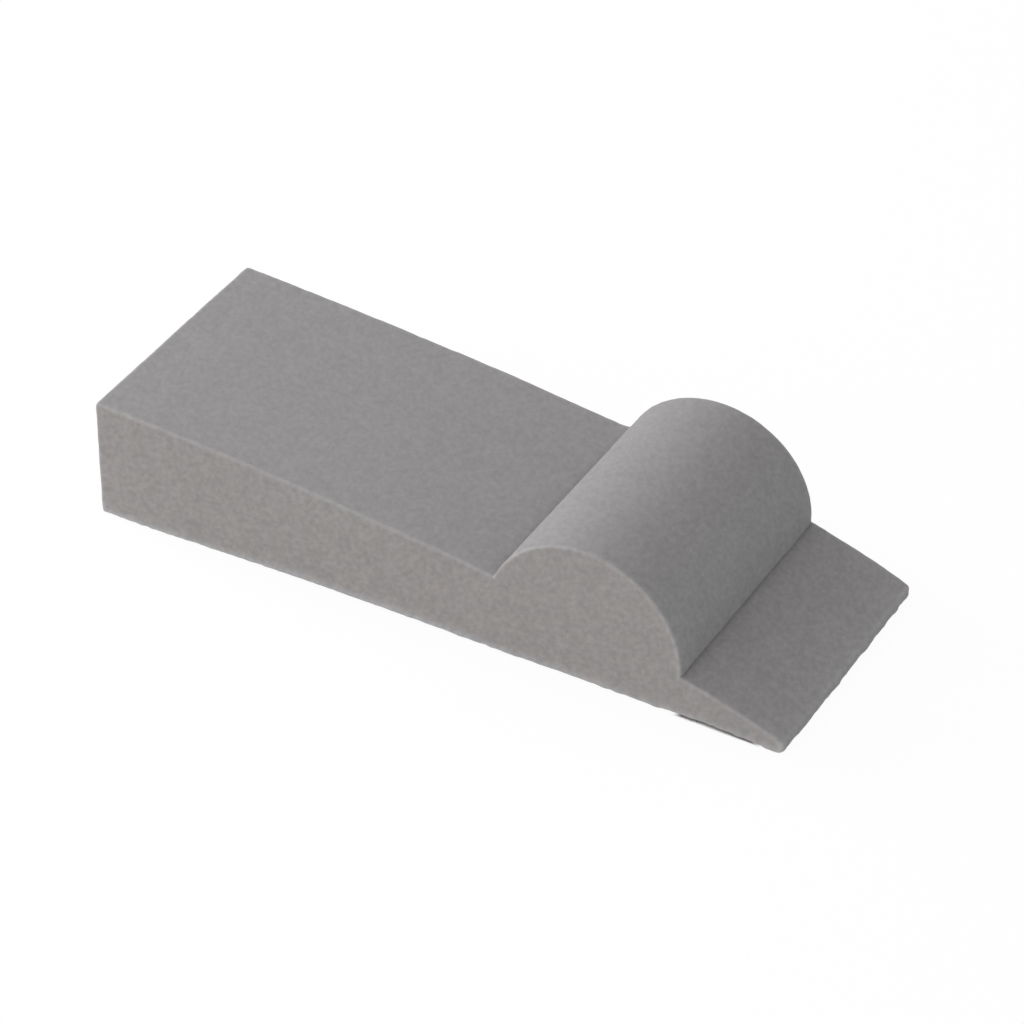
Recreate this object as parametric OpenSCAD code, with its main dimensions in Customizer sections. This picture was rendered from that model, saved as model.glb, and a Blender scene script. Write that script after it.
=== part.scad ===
// Foam back support: a long wedge, a half-round roll and a short ramp of
// open-cell foam, bonded face to face at the two creases of the top.
// +X runs from the heel to the nose, Y across, +Z up. The origin is on the
// floor, under the middle of the cushion.

/* [Cushion] */
// Width of the three blocks, side to side
width = 200; // [120:5:320]

/* [Wedge] */
// Length of the wedge block, heel to roll
wedge_length = 325; // [240:5:420]
// Height of the upright heel face
heel_height = 96.5; // [85:0.5:130]
// Height of the wedge where it meets the roll
toe_height = 65; // [50:1:80]
// Rise of the wedge's top above a straight line from heel to toe
wedge_crown = 3.5; // [1:0.5:8]

/* [Roll] */
// Radius of the half-round roll
roll_radius = 75; // [60:1:95]
// Height of the roll's centre line above the top edge of the ramp
roll_lift = 3; // [0:1:10]

/* [Ramp] */
// Length of the ramp block, roll to nose
ramp_length = 80; // [60:5:140]
// Height of the ramp where it meets the roll
ramp_height = 35; // [20:1:40]
// Height of the blunt nose
nose_height = 10; // [5:1:15]
// Rise of the ramp's top above a straight line from roll to nose
ramp_crown = 1.5; // [0.5:0.5:4]

/* [Hidden] */

foam_grey = [0.59, 0.575, 0.57];
crown_fn = 1440; // the crowns are short stretches of very large circles
roll_fn = 180;

// The wedge cuts the roll short at the rear crease, and the roll stands upright
// on the ramp's edge at the front crease
roll_axis_height = ramp_height + roll_lift;
rear_crease_x = wedge_length;
roll_axis_x = rear_crease_x + sqrt(pow(roll_radius, 2) - pow(toe_height - roll_axis_height, 2));
front_crease_x = roll_axis_x + roll_radius;
total_length = front_crease_x + ramp_length;

// Circle through two points of a top line, rising above their chord
module crown_circle(from, to, rise) {
    chord = norm(to - from);
    crown_radius = (pow(chord / 2, 2) + pow(rise, 2)) / (2 * rise);
    square_to_chord = [from.y - to.y, to.x - from.x] / chord;
    translate((from + to) / 2 - (crown_radius - rise) * square_to_chord)
        circle(r = crown_radius, $fn = crown_fn);
}

// Side outline of a block with a crowned top between two upright faces
module crowned_outline(from, to, rise) {
    intersection() {
        crown_circle(from, to, rise);
        translate([from.x, 0])
            square([to.x - from.x, max(from.y, to.y) + rise]);
    }
}

// Side outline of the roll and of the foam that carries it down to the floor
module roll_outline() {
    translate([rear_crease_x, 0])
        square([front_crease_x - rear_crease_x, roll_axis_height]);
    intersection() {
        translate([roll_axis_x, roll_axis_height])
            circle(r = roll_radius, $fn = roll_fn);
        translate([rear_crease_x, roll_axis_height])
            square([2 * roll_radius, 2 * roll_radius]);
    }
}

// Stands a side outline up and gives it the cushion's full width
module across_cushion() {
    translate([-total_length / 2, 0, 0])
        rotate([90, 0, 0])
            linear_extrude(height = width, center = true)
                children();
}

module wedge_block() {
    color(foam_grey)
        across_cushion()
            crowned_outline([0, heel_height], [rear_crease_x, toe_height], wedge_crown);
}

module half_roll() {
    color(foam_grey)
        across_cushion()
            roll_outline();
}

module front_ramp() {
    color(foam_grey)
        across_cushion()
            crowned_outline([front_crease_x, ramp_height], [total_length, nose_height],
                            ramp_crown);
}

wedge_block();
half_roll();
front_ramp();
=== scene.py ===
# Foam back support: three cut blocks, their foam and a small pale studio. Lengths are in metres.
import math
import bpy
import numpy as np
from mathutils import Matrix, Vector, kdtree, noise


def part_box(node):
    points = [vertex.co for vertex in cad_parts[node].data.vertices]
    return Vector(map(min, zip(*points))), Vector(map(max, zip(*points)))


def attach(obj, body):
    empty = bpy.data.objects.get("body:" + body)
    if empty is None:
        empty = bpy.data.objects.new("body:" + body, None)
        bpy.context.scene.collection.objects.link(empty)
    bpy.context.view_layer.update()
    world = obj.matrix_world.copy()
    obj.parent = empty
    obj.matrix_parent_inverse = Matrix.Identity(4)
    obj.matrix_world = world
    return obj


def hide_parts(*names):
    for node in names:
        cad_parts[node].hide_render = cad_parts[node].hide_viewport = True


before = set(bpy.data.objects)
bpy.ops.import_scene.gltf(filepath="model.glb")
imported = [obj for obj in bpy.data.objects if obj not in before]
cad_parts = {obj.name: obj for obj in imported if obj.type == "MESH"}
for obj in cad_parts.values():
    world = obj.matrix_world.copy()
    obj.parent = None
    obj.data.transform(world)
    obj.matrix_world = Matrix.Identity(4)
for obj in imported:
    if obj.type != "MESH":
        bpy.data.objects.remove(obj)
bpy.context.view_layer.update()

scene = bpy.context.scene


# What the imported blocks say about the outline
def topAtEnd(node, side, nearly=1e-5):
    points = np.array([v.co[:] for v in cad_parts[node].data.vertices])
    endX = points[:, 0].max() if side == "front" else points[:, 0].min()
    atEnd = np.abs(points[:, 0] - endX) < nearly
    return float(points[atEnd][:, 2].max())


wedgeLow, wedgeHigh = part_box("wedge_block")
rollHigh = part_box("half_roll")[1]
rampLow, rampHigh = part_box("front_ramp")
heelBulge, noseBulge = 0.0013, 0.0004  # the soft ends stand out a little
heelX, rearCreaseX = wedgeLow[0] - heelBulge, wedgeHigh[0]
frontCreaseX, noseX = rampLow[0], rampHigh[0] + noseBulge
halfWidth = wedgeHigh[1]
heelTop, toeTop = topAtEnd("wedge_block", "rear"), topAtEnd("wedge_block", "front")
rampTop, noseTop = topAtEnd("front_ramp", "rear"), topAtEnd("front_ramp", "front")
# the roll's circle touches its box in front and on top, and meets the wedge's top edge
rollRun, rollRise = frontCreaseX - rearCreaseX, rollHigh[2] - toeTop
rollRadius = rollRun + rollRise - math.sqrt(2 * rollRun * rollRise)
rollCentre = np.array([frontCreaseX - rollRadius, rollHigh[2] - rollRadius])
print("outline read: roll radius", round(rollRadius, 4), "nose", round(noseTop, 4))

wedgeSet = {
    "columns": 150,          # steps along the top, heel to crease
    "crown": 0.0035,         # rise of the top above a straight line
    "heelRound": 0.0030,     # radius of the heel's upper edge
    "heelLowRound": 0.0016,
    "creaseFillet": 0.0020,  # radius at the bottom of the rear crease
    "farLift": 0.0018,       # on the far side the top flattens out before it meets the roll
    "farLiftReach": (0.012, 0.004),  # before the crease and past it
    "creaseShade": 0.16,     # painted shade: a soft dark line along the crease
    "shadeReach": 0.0040,
}
rollSet = {
    "columns": 110,
    "footPaintedLight": 0.10,        # painted light: the roll is a little paler just above the ramp
    "footReach": 0.011,
    "frontRimPaintedLight": 0.07,    # and painted light along the front of its round edges
    "frontRimReach": 0.0028,
    "notchShade": 0.10,      # but painted shade where those edges start at the rear crease
    "notchReach": 0.020,
}
rampSet = {
    "columns": 50,
    "crown": 0.0015,
    "noseRound": 0.0024,
    "noseLowRound": 0.0040,
    "creaseDip": 0.0011,     # the ramp rolls down into the front crease
    "creaseReach": 0.0020,
    "lift": 0.0036,          # the underside stands off the floor here
    "liftSpan": (-0.20, 0.84),  # from and to, by share of the ramp's length
    "liftFullness": 0.8,     # under 1, the gap opens faster at its ends
    "lowRounds": ([0, 0.55, 0.85, 1], [0.0012, 0.0012, 0.0034, 0.0036]),  # its lower side edges,
    "lowRoundHalf": 0.012,   # which take over this near the front crease
    "creaseShade": 0.065,    # painted shade: the foam is darker beside the front crease
    "shadeReach": 0.007,
    "nosePaintedLight": 0.08,        # and painted light at the nose
    "noseReach": 0.007,
}
cushionSet = {
    "rows": 26,              # steps from the underside to the top
    "acrossStep": 0.0030,
    "roundSteps": 6,         # steps in the rounding of a side's edge
    "closeSteps": 9,         # and in the stretch next to it
    "closeMargin": 0.001,
    "sideRound": 0.0016,     # radius where the sides meet the top
    # radius where they meet the underside, by share of the length
    "lowRounds": ([0, 0.10, 0.2, 0.3, 0.48, 0.6, 0.7, 0.82],
                  [0.0003, 0.0004, 0.0020, 0.0048, 0.0056, 0.0043, 0.0050, 0.0040]),
    # how far the sides stand out, by share of the length
    "farBulge": ([0, 0.1, 0.3, 0.57, 0.72, 0.83, 0.86, 0.9, 1],
                 [0.0010, 0.0008, 0.0004, 0.0009, 0.0012, 0.0023, 0.0025, 0.0013, 0]),
    "nearBulge": ([0, 0.06, 0.2, 0.5, 0.7, 0.84, 0.92, 1],
                  [0.0009, 0.0008, -0.0003, -0.0004, -0.0006, -0.0004, 0.0004, 0.0003]),
    "heelEndRound": 0.0024,  # radius of the upright corners
    "noseEndRound": 0.0038,
    "endReach": 0.022,       # how far from the ends those reshape the sides
    "heelSkew": 0.0003,      # the heel's far end stands out this much more, its near end less
    "waves": [(0.075, 0.00035), (0.019, 0.00016), (0.0046, 0.00009)],  # wavelength, depth
    "fray": (0.0060, 0.00022, 0.004),     # wavelength, depth and reach of the ragged edges
    "lowFray": (0.0055, 0.00052, 0.004),  # the same for the underside's edges
    "noseFray": (0.0110, 0.0007, 0.010),
    "frayShift": (7, 3, 5),  # takes the fraying from another part of the noise
    "lowReach": 0.0085,      # height of the band of painted light along the underside
    "lowPaleRamp": 0.6,      # how much of that painted light the ramp keeps
    "farRimPaintedLight": 0.05,      # painted light: the edges of the far side are paler
    "farRimReach": 0.0022,
    "farFrom": 0.8,          # what counts as the far side, by share of the half width
    "dipFade": 0.005,        # the front crease's dip fades out this near the sides
    "shadeFade": 0.004,      # and the creases' shades this near
    "sharpAngle": 60,
    "floorGap": 0.0002,
    "seed": 5,               # of the unevenness; 0 would give a new one each time
    "edgeStep": 0.0004,      # spacing of the points that distances to an edge are measured from
    # points on the lines that the outline is drawn with, before they are thinned out
    "linePoints": {"heel": 200, "wedgeTop": 700, "rollTop": 160, "rampTop": 500, "nose": 80,
                   "underRamp": 400, "underRoll": 200, "underWedge": 1200},
}
noise.seed_set(cushionSet["seed"])


def chainAlong(points, count, endBias=0.8):  # resamples a line, with shorter steps at its ends
    points = np.asarray(points, float)
    run = np.concatenate([[0], np.cumsum(np.hypot(*np.diff(points, axis=0).T))])
    share = np.linspace(0, 1, count + 1)
    eased = (1 - endBias) * share + endBias * 0.5 * (1 - np.cos(math.pi * share))
    return np.stack([np.interp(eased * run[-1], run, points[:, axis]) for axis in (0, 1)], -1)


def crownLine(start, end, rise, count):  # shallow arc over the chord
    start, end = np.array(start), np.array(end)
    share = np.linspace(0, 1, count)[:, None]
    square = np.array([start[1] - end[1], end[0] - start[0]])
    return start + (end - start) * share + square / np.hypot(*square) * rise * 4 * share * (1 - share)


def arcLine(centre, radius, fromDeg, toDeg, count):
    turn = np.radians(np.linspace(fromDeg, toDeg, count))
    return np.array(centre) + radius * np.stack([np.cos(turn), np.sin(turn)], -1)


def undersideHeight(x):
    first, last = rampSet["liftSpan"]
    share = (np.asarray(x) - frontCreaseX) / (noseX - frontCreaseX)
    along = np.clip((share - first) / (last - first), 0, 1)
    return cushionSet["floorGap"] + rampSet["lift"] * np.sin(math.pi * along) ** rampSet["liftFullness"]


def smooth(share):  # eases a 0 to 1 share at both ends
    return share ** 2 * (3 - 2 * share)


def alongShare(x):  # 0 at the heel, 1 at the nose
    return (x - heelX) / (noseX - heelX)


def lowEdgeRadius(x):  # large at mid-length and at the nose, small at the heel and along the ramp
    rounding = np.interp(alongShare(x), *cushionSet["lowRounds"])
    onRamp = np.interp((x - frontCreaseX) / (noseX - frontCreaseX), *rampSet["lowRounds"])
    half = rampSet["lowRoundHalf"]
    ramp = smooth(np.clip((x - frontCreaseX + half) / (2 * half), 0, 1))
    return rounding * (1 - ramp) + onRamp * ramp


def undersideLine(fromX, toX, count):
    x = np.linspace(fromX, toX, count)
    return np.stack([x, undersideHeight(x)], -1)


def uprightLine(x, fromZ, toZ, count):
    return np.stack([np.full(count, x), np.linspace(fromZ, toZ, count)], -1)


def roundedCorner(before, after, radius, count=24):  # arc between two straight runs, as two halves
    before, after = np.asarray(before, float), np.asarray(after, float)
    corner = after[0]
    towardBefore = before[-2] - corner
    towardAfter = after[1] - corner
    towardBefore /= np.hypot(*towardBefore)
    towardAfter /= np.hypot(*towardAfter)
    halfAngle = math.acos(float(np.clip(towardBefore @ towardAfter, -1, 1))) / 2
    reach = radius / math.tan(halfAngle)
    centreWay = (towardBefore + towardAfter) / np.hypot(*(towardBefore + towardAfter))
    centre = corner + centreWay * radius / math.sin(halfAngle)
    startRay = corner + towardBefore * reach - centre
    endRay = corner + towardAfter * reach - centre
    arc = []
    for share in np.linspace(0, 1, count):
        ray = startRay * (1 - share) + endRay * share
        arc.append(centre + ray / np.hypot(*ray) * radius)
    arc = np.array(arc)
    keepBefore = before[np.hypot(*(before - corner).T) > reach]
    keepAfter = after[np.hypot(*(after - corner).T) > reach]
    middle = count // 2
    return np.vstack([keepBefore, arc[:middle + 1]]), np.vstack([arc[middle:], keepAfter])


def splitAt(line, x):  # cuts a line that runs towards +X in two
    cut = int(np.argmax(line[:, 0] > x))
    share = (x - line[cut - 1, 0]) / (line[cut, 0] - line[cut - 1, 0])
    point = line[cut - 1] * (1 - share) + line[cut] * share
    return np.vstack([line[:cut], point]), np.vstack([point, line[cut:]])


# Outline of the whole cushion, going round: heel up, top, nose down, underside back
def outlineChains():
    count = cushionSet["linePoints"]
    wedgeTop = crownLine([heelX, heelTop], [rearCreaseX, toeTop], wedgeSet["crown"], count["wedgeTop"])
    heel = uprightLine(heelX, undersideHeight(heelX), heelTop, count["heel"])
    startDeg = math.degrees(math.atan2(toeTop - rollCentre[1], rearCreaseX - rollCentre[0]))
    rollTop = arcLine(rollCentre, rollRadius, startDeg, 0, count["rollTop"])
    rollTop[0] = wedgeTop[-1]
    rampTopLine = crownLine([frontCreaseX, rampTop], [noseX, noseTop], rampSet["crown"], count["rampTop"])
    rollTop = np.vstack([rollTop, rampTopLine[:1]])
    nose = uprightLine(noseX, noseTop, undersideHeight(noseX), count["nose"])
    noseBack = undersideLine(noseX, frontCreaseX, count["underRamp"])
    rollUnder = undersideLine(rearCreaseX, frontCreaseX, count["underRoll"])
    heelBack = undersideLine(rearCreaseX, heelX, count["underWedge"])
    heel, wedgeTop = roundedCorner(heel, wedgeTop, wedgeSet["heelRound"])
    heelBack, heel = roundedCorner(heelBack, heel, wedgeSet["heelLowRound"])
    wedgeTop, rollTop = roundedCorner(wedgeTop, rollTop, wedgeSet["creaseFillet"])
    wedgeTop, rollTop = splitAt(np.vstack([wedgeTop, rollTop[1:]]), rearCreaseX)
    rampTopLine, nose = roundedCorner(rampTopLine, nose, rampSet["noseRound"])
    nose, noseBack = roundedCorner(nose, noseBack, rampSet["noseLowRound"])
    rows = cushionSet["rows"]
    return {
        "heel": chainAlong(heel, rows),
        "nose": chainAlong(nose, rows)[::-1],
        "tops": [chainAlong(wedgeTop, wedgeSet["columns"]), chainAlong(rollTop, rollSet["columns"]),
                 chainAlong(rampTopLine, rampSet["columns"])],
        "bottoms": [chainAlong(heelBack[::-1], wedgeSet["columns"]),
                    chainAlong(rollUnder, rollSet["columns"]),
                    chainAlong(noseBack[::-1], rampSet["columns"])],
    }


def joined(parts):
    return np.vstack([parts[0]] + [part[1:] for part in parts[1:]])


chains = outlineChains()
topLine, bottomLine = joined(chains["tops"]), joined(chains["bottoms"])
heelLine, noseLine = chains["heel"], chains["nose"]
creaseColumns = [wedgeSet["columns"], wedgeSet["columns"] + rollSet["columns"]]
rowCount, columnCount = cushionSet["rows"], len(topLine) - 1


def inwardNormals():  # one closed ring: top, nose down, underside back, heel up
    ring = np.vstack([topLine, noseLine[::-1][1:], bottomLine[::-1][1:], heelLine[1:-1]])
    along = np.roll(ring, -1, axis=0) - np.roll(ring, 1, axis=0)
    along /= np.hypot(*along.T)[:, None]
    inward = np.stack([along[:, 1], -along[:, 0]], -1)
    topIn = inward[:columnCount + 1].copy()
    noseIn = inward[columnCount:columnCount + rowCount + 1][::-1].copy()
    lowStart = columnCount + rowCount
    bottomIn = inward[lowStart:lowStart + columnCount + 1][::-1].copy()
    heelIn = np.vstack([inward[lowStart + columnCount:], inward[:1]]).copy()
    for column in creaseColumns:  # the butt faces stay upright
        topIn[column] = (0, -1)
        bottomIn[column] = (0, 1)
    return topIn, noseIn, bottomIn, heelIn


topIn, noseIn, bottomIn, heelIn = inwardNormals()


def acrossStations():  # places across the width, close together near the sides
    radius, steps = cushionSet["sideRound"], cushionSet["roundSteps"]
    close = max(cushionSet["lowRounds"][1]) + cushionSet["closeMargin"]
    edgeIn = radius * (1 - np.sin(np.radians(np.linspace(90, 0, steps + 1))))
    closeIn = np.linspace(radius, close, cushionSet["closeSteps"] + 1)[1:]
    half = halfWidth - np.concatenate([edgeIn, closeIn])
    span = 2 * half[-1]
    count = int(round(span / cushionSet["acrossStep"]))
    middle = np.linspace(-half[-1], half[-1], count + 1)[1:-1]
    return np.concatenate([-half, middle, half[::-1]])


def roundInset(radius, sideIn):  # how far a rounded edge has fallen back, this far in from the side
    return radius - np.sqrt(radius ** 2 - np.maximum(radius - sideIn, 0) ** 2)


def coonsPatch(bottom, top, left, right):  # fills one block's side outline with a grid
    columns, rows = len(top) - 1, len(left) - 1
    s = np.linspace(0, 1, columns + 1)[:, None, None]
    t = np.linspace(0, 1, rows + 1)[None, :, None]
    ruled = (1 - t) * bottom[:, None] + t * top[:, None]
    sideways = (1 - s) * left[None] + s * right[None]
    corners = ((1 - s) * (1 - t) * bottom[0] + s * (1 - t) * bottom[-1]
               + (1 - s) * t * top[0] + s * t * top[-1])
    return ruled + sideways - corners


def spreadSides(layer, across):  # layer: points at one place across, which is -1 to 1
    share = alongShare(layer[..., 0])
    layer[..., 1] += np.interp(share, *cushionSet["farBulge"]) * max(across, 0)
    layer[..., 1] += np.interp(share, *cushionSet["nearBulge"]) * min(across, 0)


def drawInEnds(layer, sideIn, depth, across):  # the upright corners are rounder than the other edges
    x = layer[..., 0]
    fromHeel = np.clip(1 - (x - heelX) / cushionSet["endReach"], 0, 1)
    fromNose = np.clip(1 - (noseX - x) / cushionSet["endReach"], 0, 1)
    heelDraw = roundInset(cushionSet["heelEndRound"], sideIn) - depth - cushionSet["heelSkew"] * across
    noseDraw = roundInset(cushionSet["noseEndRound"], sideIn) - depth
    layer[..., 0] = x + heelDraw * fromHeel - noseDraw * fromNose


def shapeCreases(layer, sideIn, across):
    # the ramp's edge rolls down into the front crease, but not at the sides
    past = np.clip(layer[..., 0] - frontCreaseX, 0, None)
    fade = min(sideIn / cushionSet["dipFade"], 1)
    dip = fade * rampSet["creaseDip"] * np.exp(-past / rampSet["creaseReach"])
    dip[:creaseColumns[1]] = 0
    low = layer[:, :1, 2]
    tall = layer[:, -1:, 2] - low
    layer[..., 2] = low + (layer[..., 2] - low) * (1 - dip / tall)
    # on the far side the wedge's top flattens out before it meets the roll
    toCrease = rearCreaseX - layer[..., 0]
    before, after = wedgeSet["farLiftReach"]
    climb = np.clip(1 - np.where(toCrease > 0, toCrease / before, -toCrease / after), 0, 1)
    lifted = wedgeSet["farLift"] * climb ** 2 * max(across, 0) ** 3
    layer[..., 2] += lifted * (layer[..., 2] - low) / tall


def cushionLattice():
    y = acrossStations()
    bounds = [0] + creaseColumns + [columnCount]
    lattice = np.zeros((columnCount + 1, rowCount + 1, len(y), 3))
    eased = 0.5 * (1 - np.cos(math.pi * np.linspace(0, 1, rowCount + 1)))[:, None]
    lowRadius = lowEdgeRadius(bottomLine[:, 0])
    for k, sideIn in enumerate(halfWidth - np.abs(y)):
        depth = roundInset(cushionSet["sideRound"], sideIn)
        top = topLine + topIn * depth
        bottom = bottomLine + bottomIn * roundInset(lowRadius, sideIn)[:, None]
        heel, nose = heelLine + heelIn * depth, noseLine + noseIn * depth
        layer = lattice[:, :, k]
        for first, last in zip(bounds[:-1], bounds[1:]):
            left = heel if first == 0 else bottom[first] + (top[first] - bottom[first]) * eased
            right = nose if last == columnCount else bottom[last] + (top[last] - bottom[last]) * eased
            patch = coonsPatch(bottom[first:last + 1], top[first:last + 1], left, right)
            layer[first:last + 1, :, 0] = patch[..., 0]
            layer[first:last + 1, :, 2] = patch[..., 1]
        layer[..., 1] = y[k]
        spreadSides(layer, y[k] / halfWidth)
        drawInEnds(layer, sideIn, depth, y[k] / halfWidth)
        shapeCreases(layer, sideIn, y[k] / halfWidth)
    return lattice, bounds


lattice, blockBounds = cushionLattice()
print("lattice", lattice.shape)


# Closed skin of one stretch of the lattice
def blockSkin(first, last):
    part = lattice[first:last + 1]
    number = np.arange(part[..., 0].size).reshape(part.shape[:3])
    # each of its six sides, and whether its faces are turned round to look outwards
    sheets = [(number[0], False), (number[-1], True), (number[:, 0], True),
              (number[:, -1], False), (number[:, :, 0], False), (number[:, :, -1], True)]
    faces = []
    for sheet, flip in sheets:
        quad = np.stack([sheet[:-1, :-1], sheet[1:, :-1], sheet[1:, 1:], sheet[:-1, 1:]], -1).reshape(-1, 4)
        faces.append(quad[:, ::-1] if flip else quad)
    faces = np.vstack(faces)
    used, faces = np.unique(faces, return_inverse=True)
    return part.reshape(-1, 3)[used], faces.reshape(-1, 4), used


def edgeTree(curves):  # finds the nearest point on a set of lattice curves
    samples = []
    for curve in curves:
        run = np.concatenate([[0], np.cumsum(np.linalg.norm(np.diff(curve, axis=0), axis=1))])
        even = np.linspace(0, run[-1], int(run[-1] / cushionSet["edgeStep"]) + 2)
        samples.append(np.stack([np.interp(even, run, curve[:, axis]) for axis in range(3)], -1))
    samples = np.vstack(samples)
    tree = kdtree.KDTree(len(samples))
    for n, sample in enumerate(samples):
        tree.insert(sample, n)
    tree.balance()
    return tree


def cushionEdges():
    half = cushionSet["roundSteps"] // 2
    sides = [half, lattice.shape[2] - 1 - half]
    upper = [lattice[:, -1, k] for k in sides] + [lattice[end, -1] for end in (0, -1)]
    upper += [lattice[end, :, k] for end in (0, -1) for k in sides]
    lower = [lattice[:, 0, k] for k in sides] + [lattice[end, 0] for end in (0, -1)]
    return edgeTree(upper + lower), edgeTree(lower)


allEdges, lowEdges = cushionEdges()
rounded = cushionSet["roundSteps"]
rearCrease, frontCrease = (edgeTree([lattice[column, -1, rounded:-rounded]]) for column in creaseColumns)
noseEdge = edgeTree([lattice[-1, 0]])


def wavy(points, frayed):  # unevenness of cut foam, the same on both sides of a joint
    moved = np.array(points)
    for wavelength, depth in cushionSet["waves"]:
        for n, p in enumerate(points):
            moved[n] += depth * np.array(noise.noise_vector(Vector(p) / wavelength))
    shift = Vector(cushionSet["frayShift"])
    for near, (wavelength, depth, reach) in frayed:
        for n in np.flatnonzero(near < 2 * reach):
            fade = math.exp(-(near[n] / reach) ** 2)
            ragged = noise.noise_vector(Vector(points[n]) / wavelength + shift)
            moved[n] += depth * fade * np.array(ragged)
    moved[:, 2] = np.maximum(moved[:, 2], cushionSet["floorGap"])
    return moved


def bell(distance, reach):  # 1 on the spot, fading with distance
    return np.exp(-(distance / reach) ** 2)


def nearTo(tree, points):
    return np.array([tree.find(p)[2] for p in points])


def frontShare(points):  # 0 behind the roll's middle, 1 from the front crease on
    return np.clip((points[:, 0] - rollCentre[0]) / rollRadius, 0, 1)


def paintShadeAndLight(name, points, sideIn, sawn, edgeNear):  # painted shade: how much darker the foam is made; below 0 is painted light
    rearNear, frontNear, noseNear = (nearTo(tree, points) for tree in (rearCrease, frontCrease, noseEdge))
    # painted shade at the creases and the notch, painted light at the roll's foot, its front rims, the nose
    # and the far edges
    paintedShadeLight = wedgeSet["creaseShade"] * bell(rearNear, wedgeSet["shadeReach"])
    if name == "halfRoll":
        paintedShadeLight -= rollSet["footPaintedLight"] * bell(frontNear, rollSet["footReach"])
    if name == "frontRamp":
        paintedShadeLight += rampSet["creaseShade"] * np.exp(-frontNear / rampSet["shadeReach"])
    paintedShadeLight *= np.clip(sideIn / cushionSet["shadeFade"], 0, 1)  # the side faces show none of these
    if name == "frontRamp":
        paintedShadeLight -= rampSet["nosePaintedLight"] * bell(noseNear, rampSet["noseReach"])
    if name == "halfRoll":
        onRim = 4 * sawn * (1 - sawn)  # 1 halfway round the edge
        paintedShadeLight += rollSet["notchShade"] * onRim * bell(rearNear, rollSet["notchReach"])
        paintedShadeLight -= rollSet["frontRimPaintedLight"] * frontShare(points) * bell(edgeNear, rollSet["frontRimReach"])
    onFarSide = points[:, 1] > cushionSet["farFrom"] * halfWidth
    return paintedShadeLight - onFarSide * cushionSet["farRimPaintedLight"] * bell(edgeNear, cushionSet["farRimReach"])


def makeBlock(name, blockNumber, material):
    first, last = blockBounds[blockNumber], blockBounds[blockNumber + 1]
    points, faces, used = blockSkin(first, last)
    k = np.unravel_index(used, lattice[first:last + 1].shape[:3])[2]
    sideIn = (halfWidth - np.abs(acrossStations()))[k]
    sawn = roundInset(cushionSet["sideRound"], sideIn) / cushionSet["sideRound"]
    edgeNear, lowNear, noseNear = (nearTo(tree, points) for tree in (allEdges, lowEdges, noseEdge))
    # painted light in a band along the underside, weaker towards the front crease
    lowPaintedLight = smooth(np.clip(1 - lowNear / cushionSet["lowReach"], 0, 1))
    lowPaintedLight *= np.interp(points[:, 0], [rearCreaseX, frontCreaseX], [1, cushionSet["lowPaleRamp"]])
    painted = {
        "edgeNear": edgeNear,
        "lowNear": lowNear,
        "lowPaintedLight": lowPaintedLight,
        "sawn": sawn,      # 1 on the side faces, 0 on the contour-cut ones
        "paintedShadeLight": paintShadeAndLight(name, points, sideIn, sawn, edgeNear),
        "grit": 1 + (foamSet["shadyGrit"] - 1) * frontShare(points) * (1 - sawn),
    }
    frayed = [(near, cushionSet[label]) for near, label in
              ((edgeNear, "fray"), (lowNear, "lowFray"), (noseNear, "noseFray"))]
    mesh = bpy.data.meshes.new(name)
    mesh.from_pydata(wavy(points, frayed).tolist(), [], faces.tolist())
    for label, values in painted.items():
        mesh.attributes.new(label, "FLOAT", "POINT").data.foreach_set("value", values.astype(np.float32))
    mesh.polygons.foreach_set("use_smooth", np.ones(len(mesh.polygons), bool))
    mesh.set_sharp_from_angle(angle=math.radians(cushionSet["sharpAngle"]))
    mesh.materials.append(material)
    mesh.validate()
    mesh.update()
    block = bpy.data.objects.new(name, mesh)
    scene.collection.objects.link(block)
    print(name, len(mesh.vertices), "points", len(mesh.polygons), "faces")
    return block


foamSet = {
    "cutTop": (0.301, 0.292, 0.295, 1),      # contour-cut faces, a touch cooler
    "sawnSide": (0.3065, 0.291, 0.2855, 1),  # block-sawn sides, warmer
    "rimLight": 1.12,        # painted highlight along every edge, standing in for light through the frayed cells
    "rimReach": 0.0034,
    "lowLight": 1.32,        # painted light along the underside, stronger and cooler, for light thrown up by the floor
    "lowLightCool": 0.030,
    "baseLight": 1.05,       # painted light: the lower part is a shade paler than the rest
    "baseReach": 0.045,
    "mottleGrain": (262, 1.8),  # the grain that shows most (scale, detail), and how strong it is
    "mottleTop": 0.063,
    "mottleSide": 0.090,
    "patchGrain": (125, 1),  # a coarser grain and its share of the mottle
    "patch": 0.36,
    "shadyGrit": 1.28,       # the grain is stronger on the roll's front and the ramp
    "rise": (0.39, -0.696, 0.603),  # the cells are drawn out this way,
    "riseSquash": 0.5,       # to 1 / riseSquash of their width
    "driftGrain": (130, 2),  # fine drift between warm and cool
    "warmthTop": 0.007,
    "warmthSide": 0.014,
    "cloudGrain": (17, 3),   # broad, faint light and dark patches
    "cloud": 0.012,
    "coolPaintedLight": 0.024,      # painted light: the roll's front has less red in it, for cooler light from the nose end,
    "coolBlue": 0.35,        # and this share of that is added as blue
    "coolFacing": (0.62, 0.82),  # from and to, by how squarely a face looks towards the nose
    "poreScale": 780,
    "poreSize": (0.10, 0.55),
    "poreDark": 0.03,
    "poreShare": 0.4,        # about how much of the surface is pore
    "fineGrain": (900, 2),   # the finest, in the bump only
    "bumpMix": {"mottle": 0.6, "fine": 0.3, "pore": 0.45},
    "bumpStrength": 0.18,
    "bumpDepth": 0.00035,
    "grainRoughness": 0.55,
    "grainSpan": (0.3, 0.7),  # most of a grain's values lie in here
    "roughness": 0.95,
    "specular": 0.12,
}


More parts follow.
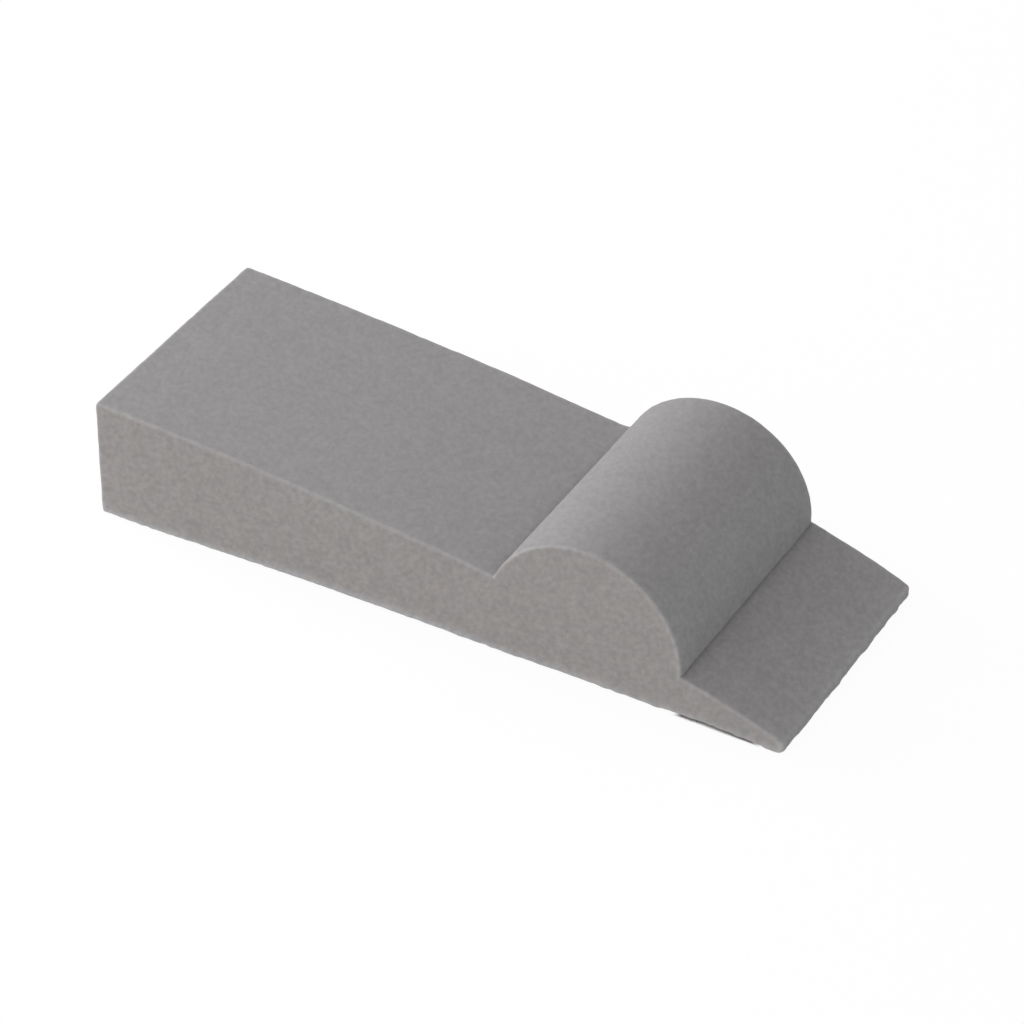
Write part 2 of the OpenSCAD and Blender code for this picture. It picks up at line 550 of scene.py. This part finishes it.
def foamMaterial():
    material = bpy.data.materials.new("greyFoam")
    material.use_nodes = True
    nodes, links = material.node_tree.nodes, material.node_tree.links
    nodes.clear()

    def add(kind, **settings):
        made = nodes.new(kind)
        for key, value in settings.items():
            setattr(made, key, value)
        return made

    def feed(socket, value):  # value is a number or another node's output
        if isinstance(value, (int, float)):
            socket.default_value = value
        else:
            links.new(value, socket)

    def reckon(operation, a, b):
        made = add("ShaderNodeMath", operation=operation)
        feed(made.inputs[0], a)
        feed(made.inputs[1], b)
        return made.outputs[0]

    def spread(value, span, toLow, toHigh, soft="LINEAR"):
        made = add("ShaderNodeMapRange", interpolation_type=soft)
        for label, part in zip(("Value", "From Min", "From Max", "To Min", "To Max"),
                               (value, *span, toLow, toHigh)):
            feed(made.inputs[label], part)
        return made.outputs["Result"]

    def swing(value, depth):
        return spread(value, foamSet["grainSpan"], -depth, depth)

    # the cells are longer along the rise, so places are squeezed together that way
    here = add("ShaderNodeTexCoord").outputs["Object"]
    alongRise = add("ShaderNodeVectorMath", operation="DOT_PRODUCT")
    links.new(here, alongRise.inputs[0])
    alongRise.inputs[1].default_value = foamSet["rise"]
    shortened = add("ShaderNodeVectorMath", operation="SCALE")
    shortened.inputs[0].default_value = foamSet["rise"]
    shrink = reckon("MULTIPLY", alongRise.outputs["Value"], foamSet["riseSquash"] - 1)
    links.new(shrink, shortened.inputs["Scale"])
    squashed = add("ShaderNodeVectorMath", operation="ADD")
    links.new(here, squashed.inputs[0])
    links.new(shortened.outputs["Vector"], squashed.inputs[1])
    place = squashed.outputs["Vector"]

    def grain(label):
        made = add("ShaderNodeTexNoise")
        made.inputs["Scale"].default_value, made.inputs["Detail"].default_value = foamSet[label]
        made.inputs["Roughness"].default_value = foamSet["grainRoughness"]
        links.new(place, made.inputs["Vector"])
        return made.outputs["Fac"]

    def painted(label):
        return add("ShaderNodeAttribute", attribute_name=label).outputs["Fac"]

    sawn, edgeNear, lowNear = painted("sawn"), painted("edgeNear"), painted("lowNear")
    lowPaintedLight, paintedShadeLight, grit = painted("lowPaintedLight"), painted("paintedShadeLight"), painted("grit")
    facing = add("ShaderNodeSeparateXYZ")
    links.new(add("ShaderNodeNewGeometry").outputs["Normal"], facing.inputs[0])
    # painted light: faces turned towards the nose are cooler
    coolPaintedLight = spread(facing.outputs["X"], foamSet["coolFacing"], 0, foamSet["coolPaintedLight"], "SMOOTHSTEP")
    mottle, cloud = grain("mottleGrain"), grain("cloudGrain")
    fine, drift = grain("fineGrain"), grain("driftGrain")
    patch = swing(grain("patchGrain"), foamSet["patch"])
    pores = add("ShaderNodeTexVoronoi", feature="F1")
    pores.inputs["Scale"].default_value = foamSet["poreScale"]
    links.new(place, pores.inputs["Vector"])
    poreMask = spread(pores.outputs["Distance"], foamSet["poreSize"], 1, 0)

    base = add("ShaderNodeMix", data_type="RGBA")
    base.inputs["A"].default_value = foamSet["cutTop"]
    base.inputs["B"].default_value = foamSet["sawnSide"]
    links.new(sawn, base.inputs["Factor"])

    # tone: how light the foam is
    mottleDepth = spread(sawn, (0, 1), foamSet["mottleTop"], foamSet["mottleSide"])
    tone = reckon("MULTIPLY", reckon("ADD", swing(mottle, 1), patch), reckon("MULTIPLY", mottleDepth, grit))
    tone = reckon("ADD", tone, swing(cloud, foamSet["cloud"]))
    tone = reckon("SUBTRACT", tone, reckon("MULTIPLY", poreMask, foamSet["poreDark"]))
    tone = reckon("ADD", tone, 1 + foamSet["poreDark"] * foamSet["poreShare"])
    # painted highlight along every edge, painted light along the underside and over the lower part
    rimPaintedLight = spread(edgeNear, (0, foamSet["rimReach"]), foamSet["rimLight"], 1, "SMOOTHSTEP")
    low = spread(lowPaintedLight, (0, 1), 1, foamSet["lowLight"])
    basePaintedLight = spread(lowNear, (0, foamSet["baseReach"]), foamSet["baseLight"], 1)
    tone = reckon("MULTIPLY", reckon("MULTIPLY", tone, basePaintedLight), reckon("MULTIPLY", rimPaintedLight, low))
    # painted shade and painted light from the blocks' attribute
    tone = reckon("MULTIPLY", tone, reckon("SUBTRACT", 1, paintedShadeLight))

    # tint: warmer has more red and less blue
    warmth = spread(sawn, (0, 1), foamSet["warmthTop"], foamSet["warmthSide"])
    warm = reckon("MULTIPLY", swing(drift, 1), warmth)
    # the painted light along the underside is a touch cooler
    warm = reckon("SUBTRACT", warm, reckon("MULTIPLY", lowPaintedLight, foamSet["lowLightCool"]))
    red = reckon("SUBTRACT", reckon("ADD", warm, 1), coolPaintedLight)
    blue = reckon("ADD", reckon("SUBTRACT", 1, warm), reckon("MULTIPLY", coolPaintedLight, foamSet["coolBlue"]))
    tint = add("ShaderNodeCombineXYZ")
    for label, part in zip("XYZ", (red, 1, blue)):
        feed(tint.inputs[label], part)
    tinted = add("ShaderNodeVectorMath", operation="MULTIPLY")
    links.new(base.outputs["Result"], tinted.inputs[0])
    links.new(tint.outputs["Vector"], tinted.inputs[1])
    colour = add("ShaderNodeVectorMath", operation="SCALE")
    links.new(tinted.outputs["Vector"], colour.inputs[0])
    links.new(tone, colour.inputs["Scale"])

    mix = foamSet["bumpMix"]
    height = reckon("ADD", reckon("MULTIPLY", mottle, mix["mottle"]), reckon("MULTIPLY", fine, mix["fine"]))
    height = reckon("SUBTRACT", height, reckon("MULTIPLY", poreMask, mix["pore"]))
    bump = add("ShaderNodeBump")
    bump.inputs["Strength"].default_value = foamSet["bumpStrength"]
    bump.inputs["Distance"].default_value = foamSet["bumpDepth"]
    links.new(height, bump.inputs["Height"])

    surface = add("ShaderNodeBsdfPrincipled")
    surface.inputs["Roughness"].default_value = foamSet["roughness"]
    surface.inputs["Specular IOR Level"].default_value = foamSet["specular"]
    links.new(colour.outputs["Vector"], surface.inputs["Base Color"])
    links.new(bump.outputs["Normal"], surface.inputs["Normal"])
    output = add("ShaderNodeOutputMaterial")
    links.new(surface.outputs["BSDF"], output.inputs["Surface"])
    return material


foam = foamMaterial()
wedgeBlock = makeBlock("wedgeBlock", 0, foam)
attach(wedgeBlock, "root")
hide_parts("wedge_block")
halfRoll = makeBlock("halfRoll", 1, foam)
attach(halfRoll, "root")
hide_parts("half_roll")
frontRamp = makeBlock("frontRamp", 2, foam)
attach(frontRamp, "root")
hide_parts("front_ramp")
print("blocks made")

studioSet = {
    "skyStrength": 0.604,
    "skyColour": (1.0, 1.0, 1.0),
    # way: where it shines from; size: width and height in metres
    "lamps": {
        "heelLamp": {"way": (-0.88, 0.0, 0.45), "away": 2.9, "size": (0.92, 1.98), "power": 59.5},
        "sideLamp": {"way": (-0.155, -0.932, 0.30), "away": 1.9, "size": (1.6, 1.6), "power": 9.35},
    },
    "lampAim": 0.05,         # height of the point that the lamps look at
    "floorSize": 12,
    "floorColour": 0.90,
    "floorShadow": 0.06,     # how much of the cast shadow the floor shows
    "contactReach": 0.0106,  # how near the foam has to be to darken the floor
    "contactDark": 0.08,
    "contactSamples": 16,
    "contactSpan": (0.28, 0.46),     # how open the floor is where the dark is full, and where it ends
    "contactFrom": (-0.006, 0.002),  # the painted shadow line starts here, from the front crease,
    "contactTo": (-0.028, -0.016),   # and ends here, from the nose
}


def seenDirectly(tree):  # 1 for a ray from the camera, off metal or through glass
    path = tree.nodes.new("ShaderNodeLightPath")
    total = path.outputs["Is Camera Ray"]
    for label in ("Is Glossy Ray", "Is Transmission Ray"):
        either = tree.nodes.new("ShaderNodeMath")
        either.operation = "MAXIMUM"
        tree.links.new(total, either.inputs[0])
        tree.links.new(path.outputs[label], either.inputs[1])
        total = either.outputs[0]
    return total


def smoothRange(tree, value, span, toLow, toHigh):
    made = tree.nodes.new("ShaderNodeMapRange")
    made.interpolation_type = "SMOOTHSTEP"
    for label, end in zip(("From Min", "From Max", "To Min", "To Max"), (*span, toLow, toHigh)):
        made.inputs[label].default_value = end
    tree.links.new(value, made.inputs["Value"])
    return made.outputs["Result"]


def mixed(tree, share, first, second):  # share is a number or an output
    mix = tree.nodes.new("ShaderNodeMixShader")
    if isinstance(share, float):
        mix.inputs["Fac"].default_value = share
    else:
        tree.links.new(share, mix.inputs["Fac"])
    tree.links.new(first.outputs[0], mix.inputs[1])
    tree.links.new(second.outputs[0], mix.inputs[2])
    return mix


def paperSurface(tree):  # white to the camera, keeping some shadow and a painted shadow line under the ramp
    nodes, links = tree.nodes, tree.links
    paper, seenPaper = nodes.new("ShaderNodeBsdfDiffuse"), nodes.new("ShaderNodeBsdfDiffuse")
    paper.inputs["Color"].default_value = (studioSet["floorColour"],) * 3 + (1,)
    seenPaper.inputs["Color"].default_value = (1, 1, 1, 1)
    # painted shadow: to the camera the floor goes dark where the foam is near, only under the ramp
    openness = nodes.new("ShaderNodeAmbientOcclusion")
    openness.samples = studioSet["contactSamples"]
    openness.inputs["Distance"].default_value = studioSet["contactReach"]
    clear = smoothRange(tree, openness.outputs["AO"], studioSet["contactSpan"], studioSet["contactDark"], 1)
    place, split = nodes.new("ShaderNodeNewGeometry"), nodes.new("ShaderNodeSeparateXYZ")
    links.new(place.outputs["Position"], split.inputs[0])
    lineStart = [frontCreaseX + past for past in studioSet["contactFrom"]]
    lineEnd = [noseX + past for past in studioSet["contactTo"]]
    light = clear
    for bare in (smoothRange(tree, split.outputs["X"], lineStart, 1, 0),
                 smoothRange(tree, split.outputs["X"], lineEnd, 0, 1)):
        lighter = nodes.new("ShaderNodeMath")
        lighter.operation = "MAXIMUM"
        links.new(light, lighter.inputs[0])
        links.new(bare, lighter.inputs[1])
        light = lighter.outputs[0]
    glow = nodes.new("ShaderNodeEmission")
    links.new(light, glow.inputs["Strength"])
    seen = mixed(tree, 1 - studioSet["floorShadow"], seenPaper, glow)
    output = nodes.new("ShaderNodeOutputMaterial")
    links.new(mixed(tree, seenDirectly(tree), paper, seen).outputs[0], output.inputs["Surface"])


def makeStudio():
    world = bpy.data.worlds.new("paleRoom")
    scene.world = world
    world.use_nodes = True
    nodes, links = world.node_tree.nodes, world.node_tree.links
    nodes.clear()
    sky, white = nodes.new("ShaderNodeBackground"), nodes.new("ShaderNodeBackground")
    sky.inputs["Color"].default_value = studioSet["skyColour"] + (1,)
    sky.inputs["Strength"].default_value = studioSet["skyStrength"]
    white.inputs["Color"].default_value = (1, 1, 1, 1)
    backdrop = mixed(world.node_tree, seenDirectly(world.node_tree), sky, white)
    output = nodes.new("ShaderNodeOutputWorld")
    links.new(backdrop.outputs[0], output.inputs["Surface"])

    bpy.ops.mesh.primitive_plane_add(size=studioSet["floorSize"], location=(0, 0, 0))
    floor = bpy.context.object
    floor.name = "studioFloor"
    paper = bpy.data.materials.new("palePaper")
    paper.use_nodes = True
    paper.node_tree.nodes.clear()
    paperSurface(paper.node_tree)
    floor.data.materials.append(paper)

    for name, lampSet in studioSet["lamps"].items():
        lamp = bpy.data.lights.new(name, "AREA")
        lamp.energy, lamp.shape = lampSet["power"], "RECTANGLE"
        lamp.size, lamp.size_y = lampSet["size"]
        holder = bpy.data.objects.new(name, lamp)
        scene.collection.objects.link(holder)
        way = Vector(lampSet["way"]).normalized()
        holder.location = way * lampSet["away"] + Vector((0, 0, studioSet["lampAim"]))
        holder.rotation_mode = "QUATERNION"
        holder.rotation_quaternion = (-way).to_track_quat("-Z", "Y")


makeStudio()
print("studio made")

cameraSet = {
    "azimuth": 29.25, "elevation": 37.08, "roll": 0.373,  # degrees
    "distance": 2.9726,
    "lens": 147.70, "sensor": 36,                         # millimetres
    "aim": (0.01097, -0.00462, 0.04408),
}


def makeCamera():
    camera = bpy.data.objects.new("camera", bpy.data.cameras.new("camera"))
    scene.collection.objects.link(camera)
    azimuth, elevation = math.radians(cameraSet["azimuth"]), math.radians(cameraSet["elevation"])
    back = Vector((math.sin(azimuth) * math.cos(elevation), -math.cos(azimuth) * math.cos(elevation),
                   math.sin(elevation)))
    tilt = Matrix.Rotation(math.radians(cameraSet["roll"]), 3, "Z")
    turn = (-back).to_track_quat("-Z", "Y").to_matrix() @ tilt
    camera.rotation_mode = "QUATERNION"
    camera.rotation_quaternion = turn.to_quaternion()
    camera.location = Vector(cameraSet["aim"]) + back * cameraSet["distance"]
    camera.data.sensor_width = cameraSet["sensor"]
    camera.data.lens = cameraSet["lens"]
    scene.camera = camera


makeCamera()
scene.view_settings.view_transform = "Standard"
